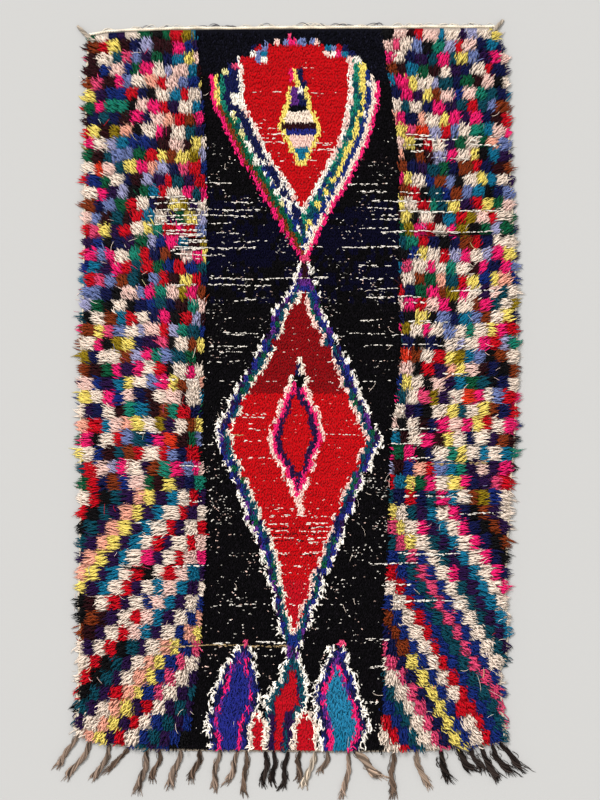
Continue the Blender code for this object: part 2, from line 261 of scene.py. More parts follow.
def field_dye(across, down):
    """The dye of each point of the middle field, row of knots by row of knots: a dark ground, a lozenge
    head on a long lozenge, and three small figures with two wedges at the bottom end."""
    row = np.clip((down / KNOT).astype(int), 0, 159)
    column = np.clip(((across + 400) / 13).astype(int), 0, 79)
    luck, chance, hue = np.moveaxis(knot_luck[row, column], -1, 0)
    down = (row + 0.5) * KNOT
    jagged = np.interp(down, (650, 800), (1, 2))
    across = across + jagged * (6 * (knot_luck[row, 0, 0] - 0.5) + 3.5 * (luck - 0.5))
    dyes = np.full(across.shape, DYE["black"])

    def figure(left, right, left_bands, right_bands=None):
        """Gives every point inside a figure the dye of its band. left and right are the figure's edges
        as (down, across) corners. Bands are counted level and inward from the nearer edge, and the last
        one fills the middle."""
        left = np.array(left, float).T
        right = np.array(right, float).T
        from_left = across - np.interp(down, *left)
        from_right = np.interp(down, *right) - across
        inside = (from_left >= 0) & (from_right >= 0) & (down >= left[0, 0]) & (down <= left[0, -1])
        nearer = from_left <= from_right
        sides = ((nearer, from_left, left_bands), (~nearer, from_right, right_bands or left_bands))
        for mine, depth, bands in sides:
            start = 0.0
            for width, name in bands:
                dyes[inside & mine & (depth >= start)] = DYE[name]
                start += width

    def patches(rows, slant=0.0):
        """Gives small leaning blocks one dye each: from low to high across and from begin to end down,
        moved sideways by slant for each millimetre down."""
        for low, high, begin, end, name in rows:
            moved = across - slant * (down - begin)
            dyes[(moved >= low) & (moved < high) & (down >= begin) & (down < end)] = DYE[name]

    def retie(changes):
        """Ties the points of an old dye, where a condition holds, in a new one."""
        for old, where, new in changes:
            dyes[(dyes == DYE[old]) & where] = DYE[new]

    dyes[down < 150] = DYE["ink"]
    bluish = 0.95 * np.sin(np.clip((down - 490) / 340, 0, 1) * np.pi) ** 0.5
    dyes[hue < bluish * np.where(np.sin(down / 31 + across / 160) > -0.5, 1, 0.35)] = DYE["midnight"]
    # Head
    figure(
        ((92, -258), (234, -252), (300, -216), (393, -172), (456, -128), (546, -76), (620, -32), (704, 20)),
        ((92, 252), (216, 251), (324, 228), (399, 192), (474, 154), (560, 102), (640, 60), (704, 30)),
        ((12, "hot_pink"), (12, "rust"), (16, "green"), (18, "pale_yellow"), (26, "navy"), (15, "white"),
         (0, "red")),
        ((12, "hot_pink"), (14, "cream"), (16, "royal"), (18, "yellow"), (19, "teal_green"), (16, "white"),
         (0, "red")),
    )
    retie((
        ("white", hue < 0.4, "pale_pink"),
        ("navy", chance < 0.12, "white"),
        ("royal", chance < 0.12, "white"),
        ("pale_yellow", down < 250, "navy"),
        ("pale_yellow", hue < 0.3, "white"),
        ("pale_yellow", hue > 0.72, "teal_green"),
        ("pale_yellow", (down > 400) & (chance < 0.45), "royal"),
        ("yellow", chance < np.interp(down, (400, 480), (0.15, 0.42)), "dark_teal"),
        ("teal_green", chance < 0.3, "dark_teal"),
        ("teal_green", (down > 430) & (chance < 0.55), "royal"),
        ("green", down < 250, "teal_green"),
        ("rust", (down < 240) & (across < 0), "yellow"),
    ))
    roof = np.interp(
        across,
        (-260, -240, -228, -216, -206, -190, -172, -150, -92, -90, 78, 80, 162, 190, 214, 252),
        (138, 138, 156, 150, 118, 108, 96, 96, 96, 0, 0, 72, 80, 112, 130, 168),
    )
    dyes[(down < roof) & (down < 170)] = DYE["ink"]
    figure(((51, -90), (100, -92)), ((51, 80), (100, 96)), ((0, "red"),))
    for low, begin, name in (
        (-138, 54, "navy"), (-122, 54, "crimson"), (-104, 54, "periwinkle"), (-138, 72, "white"),
        (-120, 72, "periwinkle"), (-104, 72, "teal_blue"), (-122, 90, "periwinkle"), (-102, 90, "white"),
        (-190, 108, "rose"), (-166, 96, "crimson"), (-208, 122, "royal"), (-220, 130, "pale_yellow"),
        (82, 54, "teal_blue"), (100, 54, "periwinkle"), (118, 54, "crimson"), (134, 54, "navy"),
        (84, 72, "pale_pink"), (104, 72, "white"), (122, 72, "hot_pink"), (140, 72, "teal_blue"),
        (158, 80, "navy"), (176, 98, "white"), (150, 90, "pale_pink"), (196, 108, "yellow"),
    ):
        patches(((low, low + 18, begin, begin + 19, name),))
    top_line = (down > 34) & (down < 54) & (across > -92) & (across < 80) & (chance < 0.62)
    mixed = np.where(hue < 0.35, DYE["periwinkle"], np.where(hue < 0.7, DYE["pale_pink"], DYE["rose"]))
    dyes[top_line] = mixed[top_line]
    patches(((-22, -8, 15, 40, "rose"), (-24, 2, 40, 60, "hot_pink")))
    # The small figure in the head
    figure(
        ((180, -24), (234, -33), (274, -48), (297, -53), (339, -31), (374, -14), (418, 10)),
        ((180, 34), (235, 46), (280, 66), (306, 77), (344, 66), (379, 46), (418, 26)),
        ((14, "yellow"), (0, "ink")),
    )
    inner = (dyes == DYE["ink"]) & (down > 180) & (down < 420) & (np.abs(across - 12) < 70)
    dyes[inner & (down < 235)] = np.where(across < 6, DYE["purple"], DYE["navy"])[inner & (down < 235)]
    patches(((4, 18, 188, 200, "white"),))
    for begin, end, name in (
        (258, 284, "cream"), (284, 308, "maroon"), (308, 327, "blue"), (327, 364, "pale_pink"),
        (364, 392, "teal_blue"), (392, 420, "yellow"),
    ):
        dyes[inner & (down >= begin) & (down < end)] = DYE[name]
    patches(
        ((-24, -12, 124, 162, "hot_pink"), (-11, 3, 134, 180, "yellow"), (1, 16, 124, 182, "navy")), 0.3
    )
    # Neck and the long lozenge
    figure(
        ((702, 12), (735, -4), (765, -14), (819, -45), (869, -75), (914, -95), (958, -115), (1092, -185),
         (1218, -248), (1330, -208), (1426, -168), (1540, -122), (1650, -88), (1714, -72), (1789, -57),
         (1849, -38), (1905, -34)),
        ((702, 44), (735, 52), (765, 60), (804, 72), (874, 97), (934, 127), (1092, 200), (1240, 262),
         (1340, 214), (1426, 176), (1516, 146), (1600, 116), (1699, 76), (1739, 62), (1789, 46), (1829, 27),
         (1864, 10), (1905, 12)),
        ((11, "white"), (14, "violet"), (15, "dark_teal"), (11, "cream"), (0, "red")),
        ((11, "white"), (14, "violet"), (15, "dark_teal"), (11, "pale_pink"), (0, "red")),
    )
    figure(
        ((1650, -88), (1714, -72), (1789, -57), (1849, -38), (1905, -34)),
        ((1650, 96), (1699, 76), (1739, 62), (1789, 46), (1829, 27), (1864, 10), (1905, 12)),
        ((10, "white"), (11, "violet"), (12, "dark_teal"), (10, "cream"), (0, "red")),
        ((10, "white"), (11, "violet"), (12, "dark_teal"), (10, "pale_pink"), (0, "red")),
    )
    middle = (down > 780) & (down < 1800)
    retie((
        ("red", (down > 780) & (down < 1092), "dark_red"),
        ("red", down > 1650, "crimson"),
        ("violet", chance < 0.4, "blue"),
        ("violet", chance < 0.55, "purple"),
        ("violet", chance > 0.9, "dark_teal"),
        ("dark_teal", middle & (chance > 0.86), "green"),
        ("dark_teal", middle & (chance < 0.3), "navy"),
    ))
    patches((
        (14, 42, 684, 702, "rose"), (18, 36, 702, 756, "maroon"), (4, 42, 756, 800, "purple"),
        (8, 38, 774, 800, "blue"), (-26, 4, 1810, 1850, "royal"),
    ))
    # The small lozenge in the long one
    figure(
        ((1000, 4), (1086, -28), (1160, -62), (1236, -88), (1300, -58), (1356, -32), (1400, -16), (1446, 2)),
        ((1000, 16), (1086, 44), (1160, 74), (1222, 90), (1300, 66), (1356, 36), (1400, 24), (1446, 16)),
        ((13, "pale_pink"), (11, "hot_pink"), (15, "violet"), (0, "red")),
    )
    patches((
        (4, 18, 990, 1008, "cream"), (-4, 8, 1008, 1036, "navy"), (8, 24, 1008, 1036, "cream"),
        (-6, 26, 1036, 1080, "black"), (-22, -6, 1036, 1080, "cream"), (26, 42, 1036, 1080, "cream"),
        (-4, 10, 1062, 1098, "hot_pink"), (0, 20, 1440, 1462, "pale_pink"),
    ))
    # Bottom figures
    figure(
        ((1853, -176), (1874, -192), (1941, -234), (2024, -258), (2075, -274), (2127, -262), (2170, -258)),
        ((1853, -134), (1895, -118), (1982, -102), (2030, -104), (2086, -128), (2127, -132), (2170, -134)),
        ((12, "white"), (17, "navy"), (11, "hot_pink"), (0, "blue")),
    )
    figure(
        ((1853, 100), (1931, 76), (1977, 52), (2030, 46), (2086, 68), (2127, 72), (2170, 72)),
        ((1853, 146), (1895, 160), (1957, 178), (2024, 200), (2090, 226), (2143, 208), (2170, 200)),
        ((12, "white"), (17, "navy"), (12, "hot_pink"), (0, "sky_teal")),
    )
    retie((
        ("hot_pink", (down > 1850) & (chance < 0.35), "purple"),
        ("navy", (down > 1850) & (chance < 0.3), "blue"),
        ("sky_teal", (down > 2100) & (chance < 0.7), "teal_blue"),
    ))
    figure(
        ((1896, -34), (1931, -48), (1982, -74), (2024, -100), (2080, -96), (2170, -92)),
        ((1896, 12), (1914, 26), (1957, 32), (2008, 44), (2060, 18), (2080, -4), (2170, -6)),
        ((13, "white"), (15, "dark_teal"), (4, "violet"), (0, "crimson")),
    )
    patches(((-82, -62, 2056, 2170, "violet"), (-28, -6, 2056, 2170, "violet")))
    for left, right in ((-128, -96), (2, 56)):
        centre = (left + right) / 2
        figure(
            ((2054, centre - 14), (2090, left - 14), (2170, left - 14)),
            ((2054, centre + 14), (2090, right + 13), (2170, right + 13)),
            ((13, "cream"), (0, "crimson")),
        )
    for centre in (-154, 134):
        patches((
            (centre - 9, centre + 9, 1836, 1856, "rose"), (centre - 22, centre - 8, 1856, 1870, "white"),
        ))
    # Gaps in the outlines
    retie((("white", (down > 700) & (hue > 0.74), "black"),))
    gaps = dyed(dyes, "cream pale_pink") & (down > 800) & (down < 1850) & (hue > 0.86)
    dyes[gaps] = np.where(down < 1092, DYE["dark_red"], DYE["red"])[gaps]
    return dyes


def rug_dye(across, down):
    """The dye of each point of the rug: the blocks of the two sides, or the figures of the middle field."""
    return np.where(in_field(across, down), field_dye(across, down), side_dye(across, down))


def fabric(name, sheen=0.02, grain=900.0, rise=0.0004, rib=0.0):
    """A cloth or yarn material that takes its colour from the piece's own dye attribute, with a fine
    fibre relief and, where rib is not 0, the ridges of the wefts."""
    material = bpy.data.materials.new(name)
    material.use_nodes = True
    nodes = material.node_tree.nodes

    def fed(node, inputs):
        """The node, with each input set to a number or fed by another node's output."""
        for key, value in inputs.items():
            if isinstance(value, bpy.types.NodeSocket):
                material.node_tree.links.new(value, node.inputs[key])
            else:
                node.inputs[key].default_value = value
        return node

    dye = nodes.new("ShaderNodeAttribute")
    dye.attribute_name = "dye"
    own_place = nodes.new("ShaderNodeTexCoord").outputs["Object"]
    fibre = fed(nodes.new("ShaderNodeTexNoise"), {"Scale": grain, "Detail": 2.0, "Vector": own_place})
    fibre = fibre.outputs["Fac"]
    shade = {"From Min": 0.3, "From Max": 0.7, "To Min": 0.82, "To Max": 1.12, "Value": fibre}
    shade = fed(nodes.new("ShaderNodeMapRange"), shade).outputs["Result"]
    tint = nodes.new("ShaderNodeVectorMath")
    tint.operation = "SCALE"
    fed(tint, {0: dye.outputs["Color"], "Scale": shade})
    height = fibre
    if rib:
        ridges = {"Scale": rib, "Distortion": 1.5, "Detail": 1.0, "Vector": own_place}
        ridges = fed(nodes.new("ShaderNodeTexWave"), ridges)
        ridges.bands_direction = "Y"
        both = fed(nodes.new("ShaderNodeMath"), {0: fibre, 1: ridges.outputs["Fac"]})
        both.operation = "ADD"
        height = both.outputs["Value"]
    bump = fed(nodes.new("ShaderNodeBump"), {"Strength": 0.6, "Distance": rise, "Height": height})
    fed(
        nodes["Principled BSDF"],
        {
            "Base Color": tint.outputs["Vector"], "Normal": bump.outputs["Normal"], "Roughness": 0.95,
            "Sheen Weight": sheen, "Sheen Roughness": 0.45, "Specular IOR Level": 0.06,
        },
    )
    return material


def add_piece(name, points, faces, colours, material, corner_map=None, smooth=True):
    """One mesh object from whole arrays: its points, its faces of three or four corners, a dye for each
    point or for each face corner, and its own flat map if it has one."""
    mesh = bpy.data.meshes.new(name)
    corners = faces.shape[1]
    mesh.vertices.add(len(points))
    mesh.vertices.foreach_set("co", np.ascontiguousarray(points, np.float32).ravel())
    mesh.loops.add(faces.size)
    mesh.loops.foreach_set("vertex_index", np.ascontiguousarray(faces, np.int32).ravel())
    mesh.polygons.add(len(faces))
    mesh.polygons.foreach_set("loop_start", np.arange(0, faces.size, corners, dtype=np.int32))
    mesh.polygons.foreach_set("use_smooth", np.full(len(faces), smooth))
    mesh.update(calc_edges=True)
    domain = "POINT" if len(colours) == len(points) else "CORNER"
    dye = mesh.color_attributes.new("dye", "FLOAT_COLOR", domain)
    rgba = np.ones((len(colours), 4), np.float32)
    rgba[:, :3] = colours
    dye.data.foreach_set("color", rgba.ravel())
    if corner_map is not None:
        layer = mesh.uv_layers.new(name="OFBake")
        layer.data.foreach_set("uv", np.ascontiguousarray(corner_map, np.float32).ravel())
    mesh.materials.append(material)
    piece = bpy.data.objects.new(name, mesh)
    bpy.context.scene.collection.objects.link(piece)
    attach(piece, "root")
    return piece


def slab_faces(rows, columns):
    """The faces of a closed sheet whose upper points are followed by its lower ones, both in rows: the
    upper side, the lower side turned over, and a wall round the rim."""
    index = np.arange(rows * columns).reshape(rows, columns)
    upper = np.stack((index[:-1, :-1], index[1:, :-1], index[1:, 1:], index[:-1, 1:]), axis=-1).reshape(-1, 4)
    lower = upper[:, ::-1] + rows * columns
    rim = np.concatenate((index[0, :-1], index[:-1, -1], index[-1, :0:-1], index[:0:-1, 0]))
    after = np.roll(rim, -1)
    wall = np.stack((rim, after, after + rows * columns, rim + rows * columns), axis=-1)
    return np.concatenate((upper, lower, wall))


# Heights in millimetres: the underside lies just off the floor, and the upper side is higher under the
# field than at the sides, and falls to the rim.
UNDERSIDE = 0.2
FIELD_GROUND = 9.9
SIDE_GROUND = 8.5
RIM_GROUND = 2.8
RIM_RISE = 0.35
GROUND_ROWS = 164
GROUND_COLUMNS = 100
BARE_WEFT = (214, 200, 180)
BARE_RIM = (206, 194, 176)
ground_rng = np.random.default_rng(21)
share = np.linspace(0, 1, GROUND_COLUMNS)[None, :]
way = np.linspace(0, 1, GROUND_ROWS)[:, None]
left = edge(way * CLOTH_LENGTH, LEFT) + 4
right = edge(way * CLOTH_LENGTH, RIGHT) - 4
across = left + (right - left) * share
top = np.interp(across, *TOP_END) + 2
down = top + (np.interp(across, *BOTTOM_END) - top) * way
is_field = in_field(across, down)
height = np.where(is_field, FIELD_GROUND, SIDE_GROUND)
height = height + np.where(is_field, 0.5, 1) * ground_rng.uniform(-1, 1, down.shape)
height = np.minimum(height, RIM_GROUND + RIM_RISE * np.minimum(across - left, right - across))
upper_points = place(across, down, height).reshape(-1, 3)
lower_points = place(across, down, UNDERSIDE).reshape(-1, 3)
ground_faces = slab_faces(GROUND_ROWS, GROUND_COLUMNS)
plan = np.stack((across.ravel(), down.ravel()), axis=-1)
face_across, face_down = plan[ground_faces % len(plan)].mean(axis=1).T
lower_face = np.arange(len(ground_faces)) >= (GROUND_ROWS - 1) * (GROUND_COLUMNS - 1)
# Painted shade: the upper side takes the dye of the pile above it, darkened to 0.73 under the field and to
# 0.45 under the sides for the shade between the strands. The underside is dulled to 0.8.
face_shade_and_dulling = np.where(lower_face, 0.8, np.where(in_field(face_across, face_down), 0.73, 0.45))
face_colour = DYE_LIGHT[rug_dye(face_across, face_down)] * face_shade_and_dulling[:, None]
weft_row = (face_down / 12).astype(int) % 4 == 0
face_colour[lower_face & weft_row] = to_linear(BARE_WEFT)
to_rim = np.minimum(face_across - edge(face_down, LEFT), edge(face_down, RIGHT) - face_across)
face_colour[to_rim < 8] = to_linear(BARE_RIM)
ground = add_piece(
    "woven_ground",
    np.concatenate((upper_points, lower_points)),
    ground_faces,
    np.repeat(face_colour, 4, axis=0),
    fabric("ground_weave", grain=500.0, rise=0.0008, rib=160.0),
    smooth=False,
)
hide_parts("rag_pile_cloth")

# Bare wefts
# Cotton weft threads that show where the pile is worn or parted: broken, beaded white lines between the
# rows of knots, and single white specks.

# A thread is cut into dashes every so many millimetres.
DASH = 9.0
# Each line of dashes as down, from and to across, and the share of it that shows, for each thread's dye.
WEFT_LINES = {
    "white": (
        (465, -267, -186, 0.9), (525, -207, -132, 0.8), (546, -267, -111, 0.9), (564, -267, -126, 0.8),
        (586, -262, -192, 0.9), (615, -250, -150, 0.4), (641, -237, -86, 0.7), (660, -360, -121, 0.95),
        (682, -262, -215, 0.6), (752, -255, 36, 0.9), (771, -260, -77, 0.8), (818, -200, -120, 0.4),
        (915, -225, -116, 0.7), (921, -210, -150, 0.6), (954, -265, -146, 0.8), (972, -240, -120, 0.5),
        (468, 156, 276, 0.7), (491, 196, 275, 0.85), (521, 230, 330, 0.8), (541, 200, 300, 0.6),
        (560, 236, 312, 0.8), (576, 238, 312, 0.8), (600, 190, 280, 0.7), (612, 258, 597, 0.9),
        (658, 141, 327, 0.95), (712, 190, 282, 0.6), (750, 60, 290, 0.5), (782, 240, 310, 0.5),
        (807, 215, 375, 0.7), (878, 195, 275, 0.6), (918, 165, 320, 0.6), (954, 200, 300, 0.7),
        (658, 12, 81, 0.95), (750, -28, 96, 0.9), (794, -18, 42, 0.95),
        (507, -434, -330, 0.95), (516, -345, -300, 0.9), (528, -420, -280, 0.9), (546, -400, -290, 0.8),
        (564, -440, -267, 0.98), (577, -400, -285, 0.8), (591, -440, -290, 0.9), (609, -393, -267, 0.9),
        (618, -380, -267, 0.9), (627, -345, -267, 0.95), (636, -360, -267, 0.95), (645, -345, -267, 0.9),
        (664, -366, -267, 0.98), (680, -360, -267, 0.95), (691, -365, -285, 0.6), (771, -380, -290, 0.7),
        (1056, -405, -288, 0.8), (1212, -471, -393, 0.7), (1314, -345, -282, 0.8), (1416, -345, -273, 0.7),
        (1486, -474, -387, 0.6), (1613, -366, -261, 0.8), (1842, -246, -195, 0.95), (1842, -117, -30, 0.95),
        (324, 336, 405, 0.9), (336, 350, 420, 0.8), (353, 342, 426, 0.9), (330, 540, 612, 0.4),
        (339, 443, 540, 0.6), (352, 520, 612, 0.6), (372, 345, 430, 0.6), (392, 420, 520, 0.4),
        (495, 306, 456, 0.5), (520, 306, 498, 0.8), (551, 312, 597, 0.9), (678, 327, 498, 0.5),
        (790, 462, 597, 0.95), (825, 312, 378, 0.5), (882, 336, 456, 0.5), (951, 312, 519, 0.6),
        (1038, 432, 498, 0.8), (1203, 285, 426, 0.8), (1245, 294, 393, 0.8), (1288, 336, 405, 0.95),
        (1404, 327, 528, 0.9), (1455, 498, 620, 0.9), (1575, 306, 489, 0.95), (1605, 228, 369, 0.95),
        (1669, 264, 363, 0.85), (1717, 294, 498, 0.9),
        (120, -60, 80, 0.1), (195, -120, -20, 0.15), (195, 40, 130, 0.12), (288, -117, -60, 0.5),
        (303, -120, -40, 0.7), (318, -110, -36, 0.8), (330, -110, -60, 0.8), (342, -100, -36, 0.85),
        (354, 40, 110, 0.6), (366, 50, 120, 0.85), (345, 60, 110, 0.7), (400, -70, 70, 0.3),
        (1155, -150, -90, 0.6), (1170, -150, -87, 0.6), (1188, -148, -100, 0.6), (1203, -140, -90, 0.5),
        (1221, 90, 177, 0.7), (1236, -150, -100, 0.5), (1290, -140, -60, 0.4),
        (1440, -120, 130, 0.35), (1463, -104, 96, 0.5), (1486, -84, -26, 0.85), (1486, 36, 98, 0.95),
        (1497, 46, 100, 0.8), (1508, -90, -28, 0.8), (1508, -28, 38, 0.4), (1508, 38, 98, 0.95),
        (1528, -76, -6, 0.75), (1528, 0, 40, 0.3), (1528, 40, 92, 0.95), (1541, 40, 88, 0.8),
        (1573, -70, -20, 0.9), (1573, 0, 40, 0.2), (1573, 44, 82, 0.9), (1614, -50, -34, 0.9),
        (1614, -10, 22, 0.9), (1634, -44, 44, 0.2),
        (1830, 210, 276, 0.7), (1914, 231, 261, 0.9), (2019, 210, 252, 0.9), (1110, -230, -190, 0.5),
        (1728, -240, 180, 0.2), (1250, -280, -240, 0.6), (1000, -260, 260, 0.15), (1060, -270, 290, 0.15),
    ),
    "straw": ((1851, -400, -27, 0.95), (1305, 411, 570, 0.95), (1222, -192, -147, 0.9)),
    "black": (
        (622, 370, 636, 1.0), (1431, 405, 477, 0.8), (1619, -507, -429, 0.9), (1218, -471, -393, 0.6),
        (1498, -83, 90, 0.8), (1519, -86, 84, 0.8), (1538, -74, 20, 0.8), (1581, -62, 62, 0.5),
    ),
}


def unit(vectors):
    """The vectors at length 1."""
    return vectors / (np.linalg.norm(vectors, axis=-1, keepdims=True) + 1e-12)


def strand_parts(path, radius, colour, sides=3, flat=0.8):
    """Closed strands that are pointed at both ends. path is (strands, points, 3) in metres, and radius
    and colour have a value for each of these points, or fewer values that stand for them. Every point
    between the ends carries a ring of corners square to the path, flattened in height by flat."""
    count, steps = path.shape[:2]
    radius = np.broadcast_to(radius, (count, steps))
    colour = np.broadcast_to(colour, path.shape)
    run = unit(np.gradient(path, axis=1))
    across = unit(np.cross(run, (0.0, 0.0, 1.0)))
    upward = np.cross(across, run)
    turn = np.radians(90 + 360 * np.arange(sides) / sides)[:, None]
    ring = np.cos(turn) * across[:, 1:-1, None] + flat * np.sin(turn) * upward[:, 1:-1, None]
    ring = path[:, 1:-1, None] + ring * radius[:, 1:-1, None, None]
    points = np.concatenate((path[:, :1], ring.reshape(count, -1, 3), path[:, -1:]), axis=1)
    shade = np.concatenate((colour[:, :1], np.repeat(colour[:, 1:-1], sides, axis=1), colour[:, -1:]), axis=1)
    # The corners of each face as step along the strand and place round it.
    end = steps - 1
    corners = [((0, 0.5), (1, 0), (1, 1))]
    for step in range(1, end - 1):
        corners.append(((step, 0), (step + 1, 0), (step + 1, 1)))
        corners.append(((step, 0), (step + 1, 1), (step, 1)))
    corners.append(((end - 1, 0), (end, 0.5), (end - 1, 1)))
    corners = np.array(corners)[:, None] + np.arange(sides)[:, None, None] * np.array((0, 1))
    step, round_it = np.moveaxis(corners.reshape(-1, 3, 2), -1, 0)
    last = points.shape[1] - 1
    faces = np.where(step == end, last, 1 + sides * (step - 1) + round_it % sides)
    faces = np.where(step == 0, 0, faces).astype(int)
    faces = faces + (last + 1) * np.arange(count)[:, None, None]
    flats = np.stack((round_it / sides, step / end), axis=-1)
    flats = np.broadcast_to(flats, (count,) + flats.shape)
    return points.reshape(-1, 3), faces.reshape(-1, 3), shade.reshape(-1, 3), flats.reshape(-1, 3, 2), count


def add_strands(name, parts, material, long_cells=1):
    """One piece from several sets of strands, each strand in a cell of its own in the piece's flat map.
    The cells are long_cells times as long as they are wide."""
    total = sum(part[4] for part in parts)
    grid = max(1, int(np.ceil(np.sqrt(total * long_cells))))
    rows = int(np.ceil(total / grid))
    faces, maps = [], []
    before = 0
    cell = 0
    for part_points, part_faces, _, part_flats, count in parts:
        faces.append(part_faces + before)
        index = np.repeat(cell + np.arange(count), len(part_faces) // count)
        corner = np.stack((index % grid, index // grid), axis=-1)[:, None, :]
        maps.append((corner + 0.1 + 0.8 * part_flats) / (grid, rows))
        before += len(part_points)
        cell += count
    points = np.concatenate([part[0] for part in parts])
    shades = np.concatenate([part[2] for part in parts])
    corner_map = np.concatenate(maps).reshape(-1, 2)
    return add_piece(name, points, np.concatenate(faces), shades, material, corner_map)


def weft_dashes(seed):
    """Across, down, length, radius, slant and colour of every dash and speck, in millimetres and radians.
    Each line of the table waves a little and is cut into dashes, of which the stated share stays, and
    some dashes of the next weft show 3 mm below it. Specks are strewn in clumps over the dark field, most
    thickly where it is worn or beside a white outline, and thinly over the red."""
    rng = np.random.default_rng(seed)
    parts = []
    for name, lines in WEFT_LINES.items():
        for line, begin, end, shown in lines:
            for aside, share in ((0, shown), (3.2, 0.3 * shown)):
                cuts = np.arange(begin, end, DASH)
                cuts = cuts + rng.uniform(-4, 4, cuts.size)
                cuts = cuts[rng.random(cuts.size) < share]
                light = rng.uniform(0.7, 1.0, (cuts.size, 1))
                down = line + aside + 2.0 * np.sin(cuts / 43 + line) + rng.uniform(-1.0, 1.0, cuts.size)
                length = rng.uniform(6, 19, cuts.size)
                radius = rng.uniform(1.3, 2.6, cuts.size)
                slant = rng.normal(0, 0.05, cuts.size)
                parts.append((cuts, down, length, radius, slant, DYE_LIGHT[DYE[name]] * light))
    count = 20000
    across = rng.uniform(-320, 310, count)
    down = rng.uniform(40, 2140, count)
    dyes = field_dye(across, down)
    is_dark = dyed(dyes, "black midnight")
    is_red = dyed(dyes, "red dark_red crimson")
    thick = np.interp(
        down, (300, 430, 520, 780, 820, 1000, 1100, 1400, 1650, 1900),
        (0.03, 0.5, 0.3, 0.3, 0.6, 0.5, 0.35, 0.7, 0.42, 0.16),
    )
    clump = np.sin(down / 19 + 2 * np.sin(across / 61)) + np.sin(across / 27 + 2.5 * np.sin(down / 83))
    worn = np.interp(clump, (-0.6, 0.3, 1.2), (0.08, 0.3, 1))
    red_thick = np.interp(
        down, (250, 300, 700, 1000, 1200, 1300, 1420, 1470, 1640, 1700),
        (0.004, 0.04, 0.02, 0.03, 0.06, 0.03, 0.03, 0.1, 0.06, 0.02),
    )
    beside = field_dye(across - 17, down) == DYE["white"]
    beside |= field_dye(across + 17, down) == DYE["white"]
    worn = worn * np.where((across > 150) & (down > 820) & (down < 1300), 0.4, 1)
    thick = thick * worn + 0.18 * beside * (down > 700)
    chance = np.where(is_dark, thick, np.where(is_red, red_thick, 0))
    kept = (rng.random(count) < chance) & in_field(across, down, 6)
    size = kept.sum()
    row_down = np.round(down[kept] / DASH) * DASH + rng.uniform(-2.5, 2.5, size)
    lower = np.interp(row_down, (1300, 1400), (0, 1))
    light = rng.uniform(0.02, 1.0, (size, 1)) ** (1.1 - 0.3 * lower[:, None])
    on_red = is_red[kept][:, None]
    light = np.where(on_red, 0.3 + 0.6 * light, light)
    light = light * np.where((rng.random((size, 1)) < 0.3) | on_red, (1.0, 0.74, 0.7), 1.0)
    length = rng.uniform(2.5, 7, size) + rng.uniform(0, 8, size) * (rng.random(size) < 0.4)
    radius = rng.uniform(0.8, 2.3, size) * (1 + 0.3 * lower)
    slant = rng.normal(0, 0.45, size)
    parts.append((across[kept], row_down, length, radius, slant, DYE_LIGHT[DYE["white"]] * light))
    return (np.concatenate(values) for values in zip(*parts))


weft_across, weft_down, weft_length, weft_radius, weft_slant, weft_colour = weft_dashes(61)
weft_in_side = ~in_field(weft_across, weft_down)
# The 3 mm cells of the rug that a bare weft crosses, counted from so far left of the centre line.
CELL = 3
CELL_START = 750
weft_cells = np.zeros((760, 500), bool)
for reach in np.linspace(-0.5, 0.5, 6):
    weft_column = ((weft_across + reach * weft_length + CELL_START) / CELL).astype(int)
    for aside in (-2.4, 0, 2.4):
        weft_cells[((weft_down + aside * weft_in_side) / CELL).astype(int), weft_column] = True


def under_weft(across, down):
    """Whether each point lies in a cell that a bare weft crosses, where no strand stands."""
    column = np.clip(((across + CELL_START) / CELL).astype(int), 0, weft_cells.shape[1] - 1)
    row = np.clip((down / CELL).astype(int), 0, weft_cells.shape[0] - 1)
    return weft_cells[row, column]


weft_rng = np.random.default_rng(62)
weft_ways = np.linspace(-0.5, 0.5, 5)
weft_size = (weft_across.size, 5)
# Wefts lie just on the field's pile, and deeper in the side's, where only black ones lie on top.
weft_height = np.where(weft_in_side, np.where(weft_colour.max(axis=1) < 0.05, 22.5, 19.0), 11.8)
weft_path = place(
    weft_across[:, None] + weft_length[:, None] * weft_ways * np.cos(weft_slant)[:, None],
    weft_down[:, None]
    + weft_length[:, None] * weft_ways * np.sin(weft_slant)[:, None]
    + weft_rng.uniform(-0.6, 0.6, weft_size),
    weft_height[:, None] + weft_rng.uniform(-0.6, 0.6, weft_size) - 1.6 * (2 * np.abs(weft_ways)) ** 4,
)
weft_radius = weft_radius[:, None] * weft_rng.uniform(0.75, 1.25, weft_size) / 1000
weft_colour = weft_colour[:, None] * weft_rng.uniform(0.85, 1.0, weft_size)[..., None]
cotton_material = fabric("cotton_thread", grain=1400.0)
weft_part = strand_parts(weft_path, weft_radius, weft_colour)
bare_wefts = add_strands("bare_wefts", [weft_part], cotton_material)
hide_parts("rag_pile_cloth")

# Side pile
# The two shaggy columns. Rag and wool strips in many dyes, 30 to 45 mm long, a bunch of them on each
# knot, lying over outward: up at the top end, level further down, and down at the bottom end.

# Strands stand so far apart, in so many lines to a row of knots, and their crests are so high. Each side
# is two pieces that meet half-way down.
SIDE_STEP = 3.5
SIDE_LAYERS = 4
SIDE_CREST = 21
HALF_WAY = 1080


